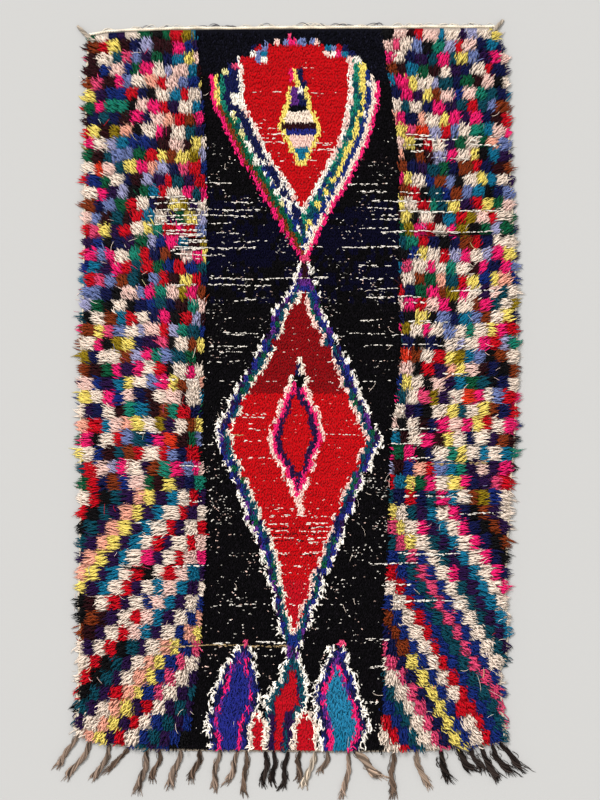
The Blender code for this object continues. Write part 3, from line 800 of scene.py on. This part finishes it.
def side_strands(side, rng):
    """Where the strands of one side column are seen, as millimetres across and down, with their distance
    from the field and from the rim: SIDE_LAYERS staggered lines of strands in each row of knots."""
    slots = np.arange(-30, 420, SIDE_STEP)
    row, layer, slot = np.meshgrid(
        np.arange(len(ROW_MIDDLES)), np.arange(SIDE_LAYERS), slots, indexing="ij"
    )
    row, layer, slot = row.ravel(), layer.ravel(), slot.ravel()
    share = (layer + 0.5 + rng.uniform(-0.35, 0.35, row.size)) / SIDE_LAYERS
    down = ROW_LINES[row] + share * (ROW_LINES[row + 1] - ROW_LINES[row])
    inner = edge(down, FIELD_LEFT if side < 0 else FIELD_RIGHT)
    outer = edge(down, LEFT if side < 0 else RIGHT)
    away = slot + SIDE_STEP * (layer % 2) / 2 + rng.uniform(-1.6, 1.6, row.size)
    across = inner + side * away
    kept = (away > 0) & (away < np.abs(outer - inner) + 1)
    kept &= (down > np.interp(across, *TOP_END) + 10) & (down < np.interp(across, *BOTTOM_END) + 4)
    return across[kept], down[kept], away[kept], np.abs(outer - across)[kept]


def bowed(root, tip, square, swing, ways, bend):
    """Paths from root to tip with a point at each share of the way in ways, and each point moved square
    to the way by its share of the strand's swing in bend."""
    path = root[:, None] + (tip - root)[:, None] * np.array(ways)[:, None]
    return path + square[:, None] * (swing[:, None] * np.array(bend))[..., None]


def side_pile(side, seed):
    """The strands of one side column as parts for its upper and lower half. Each strand leaves the ground
    short of the place where it is seen, rises, and lies over with its tip past that place."""
    rng = np.random.default_rng(seed)
    across, down, away, to_rim = side_strands(side, rng)
    count = across.size
    pick = block_of(across + rng.normal(0, 2.0, count), down + rng.normal(0, 2.6, count))
    block, share = pick[:3], pick[3]
    off_row = np.abs(2 * share - 1)
    dyes = BLOCK_DYES[block]
    edges = BLOCK_EDGES[block[:2]]
    low_edge = edges[np.arange(count), block[2]]
    high_edge = edges[np.arange(count), np.minimum(block[2] + 1, BLOCKS - 1)]
    from_middle = 2 * (across - low_edge) / np.maximum(high_edge - low_edge, 20) - 1
    rounded = 1 - 0.2 * np.minimum(np.abs(from_middle), 1) ** 3
    tuft = rng.normal(0, 1, (3,) + BLOCK_DYES.shape)
    loose = np.interp(down, (0, 1650, 1850), (1, 1, 1.7))
    inner_angle = np.interp(down, (0, 700, 1000, 1400, 1750, 2160), (84, 76, 45, 8, -8, -78))
    outer_angle = np.interp(down, (0, 560, 900, 1400, 1750, 2160), (30 + 10 * side, 22, 10, -2, -10, -46))
    angle = inner_angle + (outer_angle - inner_angle) * (away / (away + to_rim)) ** (1.5 - 0.5 * (down > 900))
    angle = np.radians(angle + 8 * tuft[0][block] + loose * rng.normal(0, 11, count))
    fall_in = np.interp(down, (0, 900, 1400), (-0.3, -0.45, -0.9))
    fall = 1 + (fall_in - 1) * np.interp(away, (0, 20, 48, 95), (1, 0.75, 0.3, 0))
    lean = np.stack((side * fall * np.cos(angle), -np.sin(angle)), axis=-1)
    laid = np.clip(np.linalg.norm(lean, axis=1), 0.3, 1)
    lean /= np.linalg.norm(lean, axis=1, keepdims=True)
    square = np.stack((lean[:, 1], -lean[:, 0]), axis=-1)
    length = rng.uniform(20, 38, count) * (1 + 0.1 * tuft[1][block])
    length *= np.interp(down, (1600, 1900), (1, 0.85))
    length *= np.interp(away, (0, 40, 110), (0.6, 0.76, 1)) * (0.4 + 0.6 * laid)
    length *= np.interp(down, (0, 400, 900), (0.84, 0.88, 1))
    middle_part = np.interp(down, (900, 1150, 1650, 1750), (0, 0.2, 0.2, 0))
    length *= 1 + middle_part * np.interp(away, (40, 100), (0, 1))
    spot = np.stack((across, down), axis=-1)
    root = spot - lean * (0.62 * length)[:, None]
    field_edge = edge(root[:, 1], FIELD_LEFT if side < 0 else FIELD_RIGHT)
    root[:, 0] += side * np.maximum(0, side * (field_edge - root[:, 0]) + 1)
    stray = rng.random(count) < 0.13
    tip = spot + lean * ((0.38 + 0.24 * stray) * length)[:, None]
    tip = tip + square * (np.where(stray, 6.5, 2.8) * rng.normal(0, 1, count))[:, None]
    tip[:, 0] -= 2.2 * np.clip(from_middle, -1, 1) * ~stray
    locks = rng.uniform(6, 20, len(ROW_MIDDLES))[block[1]] * (1 - off_row)
    at_rim = np.clip(1 - to_rim / 26, 0, 1)
    tip[:, 0] += side * at_rim * locks * rng.uniform(0.3, 1.1, count)
    tip[:, 1] += 0.5 * at_rim * (ROW_MIDDLES[block[1]] - down)
    reach_top = np.interp(tip[:, 0], *TOP_END) + rng.uniform(4, 9, count)
    tip[:, 1] = np.maximum(tip[:, 1], reach_top)
    past_rim = np.maximum(0, side * tip[:, 0] - np.abs(edge(tip[:, 1], LEFT if side < 0 else RIGHT)))
    pillow = 1 - 0.4 * off_row ** 3
    crest = (SIDE_CREST + 1.4 * tuft[2][block] + rng.normal(0, 1.7, count)) * pillow * rounded
    crest *= np.clip(0.55 + to_rim / 60, 0.55, 1)
    swing = loose * rng.normal(0, 2.4, count)
    path = bowed(root, tip, square, swing, (0, 0.3, 0.68, 1.0), (0, 0.8, 0.9, 0))
    high = np.stack((0.25 * crest, 0.74 * crest, crest, 0.9 * crest + rng.normal(0, 1.5, count)), axis=-1)
    high[:, 3] = np.maximum(high[:, 3] - 0.55 * past_rim, 2.5)
    high[:, 2] = np.maximum(high[:, 2] - 0.25 * past_rim, 4)
    radius = rng.uniform(1.5, 2.4, count)[:, None] * np.array((0, 1.0, 0.95, 0)) / 1000
    # Painted shade: each strand is darkened towards its root, which lies under the other strands, and
    # lightened a little at its tip.
    colour = DYE_LIGHT[dyes][:, None] * np.array((0.62, 0.86, 1.0, 1.06))[:, None]
    # The tone is random, with painted shade on top of it: darker towards the edges of the strand's block and
    # towards the lines between the rows, where the pile dips.
    tone = rng.uniform(0.76, 1.08, count) * rounded * (1.02 - 0.17 * off_row ** 4)
    colour = colour * tone[:, None, None]
    points = place(path[..., 0], path[..., 1], high)
    parted = rng.random(BLOCK_DYES.shape)[block] < 0.3
    shown = ~under_weft(across, down) & ~(parted & (share > 0.88))
    points, radius, colour, down = (array[shown] for array in (points, radius, colour, down))
    halves = (down < HALF_WAY, down >= HALF_WAY)
    return [strand_parts(points[mine], radius[mine], colour[mine]) for mine in halves]


pile_material = fabric("rag_pile_fibre")
for side, word, seed in ((-1, "left", 31), (1, "right", 32)):
    for part, place_word in zip(side_pile(side, seed), ("upper", "lower")):
        piece = add_strands(f"side_pile_{word}_{place_word}", [part], pile_material)
        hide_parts("rag_pile_cloth")

# Field pile
# The middle field, clipped to about 12 mm so that the figures read clearly. The same wool and rags, tied
# in smaller knots of about 13 by 18 mm, with their tips combed towards the header.

# Strands stand so far apart. Their crests are lower and more even in the plain dark and red parts than in
# the figures' outlines.
FIELD_STEP = 3.8
PLAIN_CREST = 12.3
FIGURE_CREST = 14.2
DARK_DYES = "black ink midnight"
RED_DYES = "red dark_red crimson"


def field_pile(seed):
    """The strands of the middle field and their dyes: two lines of short strands in each row of knots."""
    rng = np.random.default_rng(seed)
    lines = np.arange(4, CLOTH_LENGTH + 6, KNOT / 2)
    slots = np.arange(-330, 330, FIELD_STEP)
    line, slot = np.meshgrid(np.arange(lines.size), slots, indexing="ij")
    down = lines[line.ravel()] + rng.uniform(-4, 4, line.size)
    across = slot.ravel() + FIELD_STEP * (line.ravel() % 2) / 2 + rng.uniform(-1.4, 1.4, line.size)
    kept = in_field(across, down, -2) & ~under_weft(across, down)
    kept &= (down > np.interp(across, *TOP_END) + 9) & (down < np.interp(across, *BOTTOM_END) - 2)
    across, down = across[kept], down[kept]
    count = across.size
    dyes = field_dye(across, down)
    plain = dyed(dyes, DARK_DYES + " " + RED_DYES)
    low_end = np.interp(down, (1780, 1900), (0, 1))
    curly = dyed(dyes, "white cream pale_pink") & (down > 700)
    angle = np.radians(90 + rng.normal(0, np.where(plain, 20, np.where(curly, 42, 26)), count))
    lean = np.stack((np.cos(angle), -np.sin(angle)), axis=-1)
    square = np.stack((lean[:, 1], -lean[:, 0]), axis=-1)
    length = rng.uniform(12, 18, count) * np.where(plain, 1.2 + 0.2 * low_end, 1.15 + 0.55 * low_end)
    spot = np.stack((across, down), axis=-1)
    root = spot - lean * (0.6 * length)[:, None]
    tip = spot + lean * (0.4 * length)[:, None]
    tip[:, 1] = np.maximum(tip[:, 1], np.interp(tip[:, 0], *TOP_END) + 6)
    crest = np.where(plain, PLAIN_CREST, FIGURE_CREST + 1.5 * low_end)
    crest = crest + np.where(plain, 0.4, 0.9) * rng.normal(0, 1, count)
    swing = np.where(plain, 0.8, 1.8 + 1.8 * low_end + 1.2 * curly) * rng.normal(0, 1, count)
    path = bowed(root, tip, square, swing, (0, 0.35, 0.72, 1.0), (0, 0.9, 0.8, 0))
    low_point = np.where(plain, 8.5, 4)
    high = np.stack((low_point, 0.84 * crest, crest, crest - 0.8 + rng.normal(0, 0.7, count)), axis=-1)
    radius = rng.uniform(1.9, 2.5, count) * np.where(plain, 1.55, 1.06)
    radius = radius[:, None] * np.array((0, 1.0, 0.95, 0)) / 1000
    # Painted shade: the figures' strands are darkened towards their roots, which lie under the other strands,
    # and lightened a little at their tips. The plain dark and red strands are dimmed to about 0.7 of their
    # dye, with a slight painted shade towards their roots.
    root_shade_and_dimming = np.where(plain[:, None], (0.69, 0.71, 0.73, 0.74), (0.88, 0.95, 1.0, 1.04))
    colour = DYE_LIGHT[dyes][:, None] * root_shade_and_dimming[..., None]
    spread = np.where(plain, 0.06, 0.13 + 0.07 * low_end)[:, None, None]
    colour = colour * (0.97 + spread * rng.uniform(-1, 1, count)[:, None, None])
    streak = np.sin(down / 5 + 1.5 * np.sin(across / 70)) * np.sin(down / 31 + 2 * np.sin(across / 110))
    colour = colour * np.where(plain, 1 + 0.08 * streak, 1)[:, None, None]
    uneven = np.where(dyed(dyes, "black ink"), 0.5, np.where(dyes == DYE["midnight"], 0.2, 0))
    uneven = np.where(curly, 0.22, uneven)
    colour = colour * np.exp(uneven * rng.normal(0, 1, count))[:, None, None]
    return place(path[..., 0], path[..., 1], high), radius, colour, dyes


field_points, field_radius, field_colour, field_dyes = field_pile(41)
dark = dyed(field_dyes, DARK_DYES)
warm = dyed(field_dyes, RED_DYES)
dark_material = fabric("dark_pile_fibre", sheen=0.0)
for name, mine, material, kept_points, flat in (
    ("field_pile_dark", dark, dark_material, [0, 2, 3], 0.35),
    ("field_pile_red", warm, pile_material, [0, 2, 3], 0.3),
    ("field_pile_figures", ~dark & ~warm, pile_material, [0, 1, 2, 3], 0.8),
):
    values = (array[mine][:, kept_points] for array in (field_points, field_radius, field_colour))
    part = strand_parts(*values, flat=flat)
    piece = add_strands(name, [part], material)
    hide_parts("rag_pile_cloth")

# Selvedges and loose hairs
# The cotton selvedge cords down both sides, and the odd hairs and threads that have worked loose: they
# lie in slow curves over the pile and stick out at the rims.


def twisted(centre, offset, angle, lift=0.7):
    """Paths wound round their centre lines: each point is moved square to its line by offset, at an angle
    that grows along the way, with the rise of the winding flattened by lift."""
    across = unit(np.cross(np.gradient(centre, axis=1), (0.0, 0.0, 1.0)))
    swing = (offset * np.cos(angle))[..., None] * across
    return centre + swing + (lift * offset * np.sin(angle))[..., None] * np.array((0.0, 0.0, 1.0))


# Cotton cords are two plies, each so far from the cord's middle line in metres.
PLY_OFFSET = 0.0019
SELVEDGE_STEPS = 420
hair_rng = np.random.default_rng(71)
selvedge_parts = []
for side, column, begin, end in ((-1, LEFT, 26, 2096), (1, RIGHT, 4, 2128)):
    down = begin + (end - begin) * np.linspace(0, 1, SELVEDGE_STEPS)
    across = edge(down, column) - side * (5.0 + 0.8 * np.sin(down / 31))
    wind = 2 * np.pi * (down / 22 + np.array((0, 0.5))[:, None])
    path = twisted(place(across, down, 4.2)[None], PLY_OFFSET, wind, 0.8)
    colour = to_linear((206, 192, 170)) * hair_rng.uniform(0.8, 1.0, (2, SELVEDGE_STEPS, 1))
    selvedge_parts.append(strand_parts(path, 0.0022, colour, sides=4, flat=0.9))
selvedges = add_strands("selvedge_cords", selvedge_parts, cotton_material, long_cells=0.01)
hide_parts("rag_pile_cloth")

# Loose hairs lie so high over the field and over the sides.
OVER_FIELD = 15.0
OVER_SIDE = 22.5
HAIR_DYES = "cream cream cream white pale_pink pale_pink pale_yellow red rose violet lavender black"
# The longest loose threads as across and down at the root, heading in degrees and length.
LONG_HAIRS = np.array(
    ((550, 1908, 22, 84), (556, 1972, 26, 80), (534, 1925, 60, 60), (-560, 1700, 170, 56),
     (610, 470, -35, 46)),
    float,
)


def hairs(rng, count, rim_count):
    """The loose hairs and threads as strands. The first rim_count of them stick out at the rims, the last
    five are the long ones, and the others lie over the pile, most of them at the sides."""
    down = rng.uniform(30, 2120, count)
    share = rng.uniform(0.02, 0.98, count)
    number = np.arange(count)
    share = np.where(number % 5 == 0, share, share ** 0.5)
    inner = np.where(number % 2, edge(down, FIELD_LEFT), edge(down, FIELD_RIGHT))
    outer = np.where(number % 2, edge(down, LEFT), edge(down, RIGHT))
    across = inner + (outer - inner) * (1.6 * share - 0.6) * 0.97
    at_rim = number < rim_count
    side = np.where(number % 2, 1, -1)
    rim = np.where(side < 0, edge(down, LEFT), edge(down, RIGHT)) + side * 2
    across = np.where(at_rim, rim, across)
    angle = rng.uniform(0, 2 * np.pi, count)
    angle = np.where(at_rim, np.where(side < 0, np.pi, 0) + rng.normal(0, 0.6, count), angle)
    length = np.where(at_rim, rng.uniform(9, 20, count), rng.uniform(14, 40, count))
    across[-5:], down[-5:], angle[-5:], length[-5:] = LONG_HAIRS.T
    angle[-5:] = np.radians(angle[-5:])
    way = np.linspace(0, 1, 7)
    bend = rng.uniform(-1.5, 1.5, count)
    bend[-5:] *= 0.4
    turn = angle[:, None] + bend[:, None] * way
    step = length[:, None] / 6
    across = across[:, None] + np.cumsum(np.cos(turn) * step, axis=1)
    down = down[:, None] + np.cumsum(np.sin(turn) * step, axis=1)
    over_field = in_field(across, down, 6)
    high = np.where(over_field, OVER_FIELD, OVER_SIDE) + 1.5 * np.sin(np.pi * way)
    beyond = np.maximum(edge(down, LEFT) + 8 - across, across - edge(down, RIGHT) + 8)
    high = np.where(beyond > 0, np.maximum(16 - 1.1 * beyond, 1.2), high)
    high = np.minimum(high, np.where(at_rim[:, None], 16 - 14 * way, 40))
    dyes = dye_numbers(HAIR_DYES)[rng.integers(0, len(HAIR_DYES.split()), count)]
    dyes[-5:] = DYE["cream"]
    dyes = np.where(over_field.any(axis=1), DYE["cream"], dyes)
    colour = DYE_LIGHT[dyes][:, None] * rng.uniform(0.75, 1.05, (count, 1, 1))
    return strand_parts(place(across, down, high), rng.uniform(0.4, 0.75, (count, 1)) / 1000, colour)


hair_part = hairs(hair_rng, count=190, rim_count=30)
loose_hairs = add_strands("loose_hairs", [hair_part], pile_material)
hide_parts("rag_pile_cloth")

# Header cord
# An undyed cotton cord of two thick plies, laid along the last wefts at the top end. Its grey ends are
# left loose at the corners, and small loops of the weft stand out along it.
CORD_STEPS = 470
CORD_PITCH = 16.0
cord_rng = np.random.default_rng(81)
across = np.linspace(-621, 597, CORD_STEPS)
down = np.interp(across, *TOP_END) - 4.4 + 0.7 * np.sin(across / 37) + 0.5 * np.sin(across / 11)
wind = 2 * np.pi * (across / CORD_PITCH + np.array((0, 0.5))[:, None])
tone = 0.84 + 0.12 * np.sin(across / 9) + cord_rng.uniform(-0.06, 0.06, (2, CORD_STEPS))
path = twisted(place(across, down, 4.3)[None], PLY_OFFSET, wind, 0.9)
cord_parts = [strand_parts(path, 0.0023, to_linear((240, 228, 208)) * tone[..., None], sides=6, flat=0.9)]
# Each tail as across, down and height along its way.
for tail in (
    ((-604, 46, 17), (-615, 36, 13), (-628, 22, 7), (-643, 7, 4.8), (-657, -7, 3.0)),
    ((580, 23, 16), (590, 11, 12), (601, -1, 6.5), (612, -13, 4.8), (623, -25, 3.0)),
):
    way = np.linspace(0, 1, 26)
    line = [np.interp(way, np.linspace(0, 1, 5), column) for column in np.array(tail, float).T]
    wind = 2 * np.pi * (1.7 * way + np.arange(3)[:, None] / 3)
    thick = np.interp(way, (0, 0.3, 0.75, 1), (1.0, 1.3, 1.2, 0.7))
    light = np.array((0.7, 1.0, 1.2))[:, None, None] * (0.8 + 0.25 * way[:, None])
    path = twisted(place(*line)[None], 0.0026 * thick, wind, 0.6)
    cord_parts.append(strand_parts(path, 0.0027 * thick, to_linear((154, 142, 128)) * light, sides=5))


def weft_loops(rng, count):
    """The small loops of weft that stand out past the cord, as strands."""
    middle = rng.uniform(-600, 600, (count, 1))
    span = rng.uniform(8, 46, (count, 1))
    rise = rng.uniform(2, 11, (count, 1)) * (0.6 + span / 60)
    way = np.linspace(0, 1, 8)
    arch = np.sin(np.pi * way)
    across = middle + span * (way - 0.5) + rng.uniform(-8, 8, (count, 1)) * arch
    down = np.interp(across, *TOP_END) - 6 - rise * arch
    # Beside the figures' head most loops are black, as the pile is there.
    pale = np.where(np.abs(np.abs(middle + 20) - 225) < 55, 0.25, 0.8)[..., None]
    tone = np.where(rng.random((count, 1, 1)) < pale, (232, 222, 206), (48, 44, 56))
    path = place(across, down, 5.0 - 3.9 * arch)
    return strand_parts(path, rng.uniform(0.5, 0.95, (count, 1)) / 1000, to_linear(tone))


cord_parts.append(weft_loops(cord_rng, count=120))
header = add_strands("header_plies", cord_parts, cotton_material, long_cells=0.05)
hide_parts("header_cord")

# Warp fringe
# The wool warps, left long at the bottom end and drawn into bundles of plied brown and grey yarn that
# have frayed at their tips. A few last wefts hold them together as a narrow woven end.
# Each bundle as across at its root and at its tip, its reach, its width and its wool.
BUNDLES = (
    (-655, -717, 96, 13, "taupe"), (-618, -688, 108, 14, "taupe"), (-558, -606, 102, 13, "taupe"),
    (-501, -570, 72, 12, "brown"), (-447, -474, 126, 15, "taupe"), (-408, -432, 87, 12, "brown"),
    (-345, -381, 108, 15, "taupe"), (-288, -315, 87, 13, "brown"), (-228, -252, 114, 13, "taupe"),
    (-174, -210, 93, 12, "taupe"), (-150, -153, 128, 12, "brown"), (-90, -96, 99, 12, "dark"),
    (-66, -70, 96, 12, "dark"), (-24, -45, 105, 14, "dark"), (12, 3, 81, 13, "brown"),
    (57, 24, 102, 14, "pale"), (96, 75, 57, 12, "taupe"), (157, 144, 130, 13, "taupe"),
    (180, 258, 72, 22, "sand"), (294, 288, 132, 14, "brown"), (360, 396, 108, 14, "sand"),
    (432, 462, 90, 13, "dark"), (483, 534, 66, 13, "dark"), (525, 561, 72, 12, "dark"),
    (555, 612, 100, 14, "dark"), (586, 645, 84, 13, "dark"), (612, 690, 78, 13, "dark"),
)
WOOLS = {
    "taupe": (112, 95, 83), "brown": (84, 68, 57), "dark": (35, 28, 25), "pale": (162, 148, 132),
    "sand": (142, 122, 106),
}
# Each bundle has so many yarns and so many frayed fibres, and most of the fibres leave it at its tip.
YARNS = 9
FIBRES = 34
TIP_FIBRES = 20
warp_rng = np.random.default_rng(91)
root, tip, reach, width = np.array([row[:4] for row in BUNDLES], float).T[:, :, None]
wool = to_linear([WOOLS[row[4]] for row in BUNDLES])
bundle_wave = warp_rng.uniform(0, 2 * np.pi, root.shape)
# The outer bundles on the right are frayed the most.
loosest = root > 430


def along_bundle(index, way):
    """The middle line of some bundles, in millimetres across and down, at shares of their way: it leaves
    the woven end square, bends away to its tip, and swings 5 mm to either side."""
    swing = 5 * np.sin((4 + 0.5 * bundle_wave[index]) * way + bundle_wave[index]) * np.minimum(1, 3 * way)
    across = root[index] + (tip - root)[index] * np.maximum(way, 0) ** 1.35 + swing
    return across, np.interp(root[index], *BOTTOM_END) + 2.3 + (reach[index] + 7) * way


def bundle_yarns(rng):
    """The plied yarns of every bundle as strands: they wind round its middle line and open at its tip."""
    bundle = np.repeat(np.arange(len(BUNDLES)), YARNS)
    single = (bundle.size, 1)
    way = np.linspace(0, 1, 18) * rng.uniform(0.86, 1.02, single)
    offset = width[bundle] * np.interp(way, (0, 0.12, 0.45, 0.8, 1), (0.2, 0.38, 0.48, 0.54, 0.9))
    offset = offset * rng.uniform(0.35, 1.15, single)
    offset = offset * (1 + 0.6 * loosest[bundle] * way)
    radius = width[bundle] * np.interp(way, (0, 0.1, 0.6, 0.88, 1.02), (0.13, 0.18, 0.2, 0.17, 0.04))
    high = np.maximum(0.4 * offset + 0.85 * radius + 0.4, 4.4 * (1 - 8 * way))
    turn = reach[bundle] / 75 * way + np.tile(np.arange(YARNS) / YARNS, len(BUNDLES))[:, None]
    turn = 2 * np.pi * turn + rng.uniform(-0.4, 0.4, bundle.size)[:, None]
    light = np.interp(way, (0, 0.3, 0.8, 1), (0.65, 0.85, 1.1, 1.45)) * rng.uniform(0.2, 1.8, single)
    path = twisted(place(*along_bundle(bundle, way), high), offset / 1000, turn, 0.4)
    return strand_parts(path, radius / 1000, wool[bundle][:, None] * light[..., None], sides=5, flat=0.85)


def frayed_fibres(rng):
    """The frayed fibres as strands: most leave a bundle at its tip, and the rest along its way."""
    bundle = np.repeat(np.arange(len(BUNDLES)), FIBRES)
    at_tip = (np.tile(np.arange(FIBRES), len(BUNDLES)) < TIP_FIBRES)[:, None]
    luck = rng.random(at_tip.shape)
    begin = np.where(at_tip, 0.6 + 0.32 * luck, 0.05 + 0.65 * luck)
    luck = rng.random(at_tip.shape)
    end = begin + np.where(at_tip, 0.12 + 0.24 * luck, 0.15 + 0.15 * luck)
    end = np.minimum(end, 1 + 12 / reach[bundle])
    ways = np.linspace(0, 1, 6)
    across, down = along_bundle(bundle, begin + (end - begin) * ways)
    aside = rng.uniform(-1, 1, at_tip.shape)
    spread = np.where(at_tip, 0.5 + 0.7 * ways, 0.55 + 0.35 * np.sin(np.pi * ways))
    across = across + aside * width[bundle] * (spread * np.where(loosest[bundle], 1.7, 1))
    down = down + rng.uniform(-1.5, 1.5, down.shape)
    light = rng.uniform(0.5, 1.9, at_tip.shape) * (1 + 0.3 * ways)
    path = place(across, down, np.interp(ways, (0, 1), (4.5, 1.3)))
    return strand_parts(
        path, rng.uniform(0.6, 1.3, at_tip.shape) / 1000, wool[bundle][:, None] * light[..., None]
    )


fringe_parts = [bundle_yarns(warp_rng), frayed_fibres(warp_rng)]
# The last wefts: three cords that pass over and under the warps by turns.
END_STEPS = 430
across = np.linspace(-660, 634, END_STEPS)
wave = np.sin(2 * np.pi * across / 13 + np.pi * np.arange(3)[:, None])
down = np.interp(across, *BOTTOM_END) + np.array((-1.2, 1.8, 4.8))[:, None] + 0.5 * wave
tone = warp_rng.uniform(0.75, 1.1, (3, END_STEPS, 1)) * np.array((1.1, 0.85, 1.2))[:, None, None]
path = place(across, down, 3.2 + 0.9 * wave)
fringe_parts.append(strand_parts(path, 0.0019, to_linear((158, 146, 132)) * tone, sides=4))
wool_material = fabric("warp_wool", grain=1200.0)
fringe = add_strands("warp_bundles", fringe_parts, wool_material, long_cells=0.06)
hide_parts("warp_fringe")

# Floor, light and camera
# A pale plain floor under soft light from above and one side.
FLOOR_REACH = 50
floor_mesh = bpy.data.meshes.new("floor")
floor_corners = [(FLOOR_REACH * x, FLOOR_REACH * y, -0.0005) for x, y in ((-1, -1), (1, -1), (1, 1), (-1, 1))]
floor_mesh.from_pydata(floor_corners, [], [(0, 1, 2, 3)])
floor = bpy.data.objects.new("floor", floor_mesh)
bpy.context.scene.collection.objects.link(floor)
floor_material = bpy.data.materials.new("floor_plain")
floor_material.use_nodes = True
floor_shader = floor_material.node_tree.nodes["Principled BSDF"]
floor_shader.inputs["Base Color"].default_value = (0.38, 0.376, 0.368, 1)
floor_shader.inputs["Roughness"].default_value = 0.9
floor_mesh.materials.append(floor_material)

world = bpy.data.worlds.new("soft_room")
bpy.context.scene.world = world
world.use_nodes = True
world.node_tree.nodes["Background"].inputs["Color"].default_value = (1.0, 0.99, 0.97, 1)
world.node_tree.nodes["Background"].inputs["Strength"].default_value = 0.95
key = bpy.data.objects.new("key_light", bpy.data.lights.new("key_light", "SUN"))
key.data.angle = 0.4
key.data.energy = 3.7
key.location = (-1.5, 2.2, 2.8)
key.rotation_euler = (-0.62, -0.46, 0)
bpy.context.scene.collection.objects.link(key)

# The camera looks straight down from so far up that the whole rug shows.
camera = bpy.data.objects.new("camera", bpy.data.cameras.new("camera"))
camera.data.lens = 85
camera.data.sensor_width = 36
camera.location = (0.0255, cloth_top - 1.116, 5.667)
camera.rotation_euler = (0, 0, 0)
bpy.context.scene.collection.objects.link(camera)
bpy.context.scene.camera = camera
bpy.context.scene.view_settings.view_transform = "Standard"
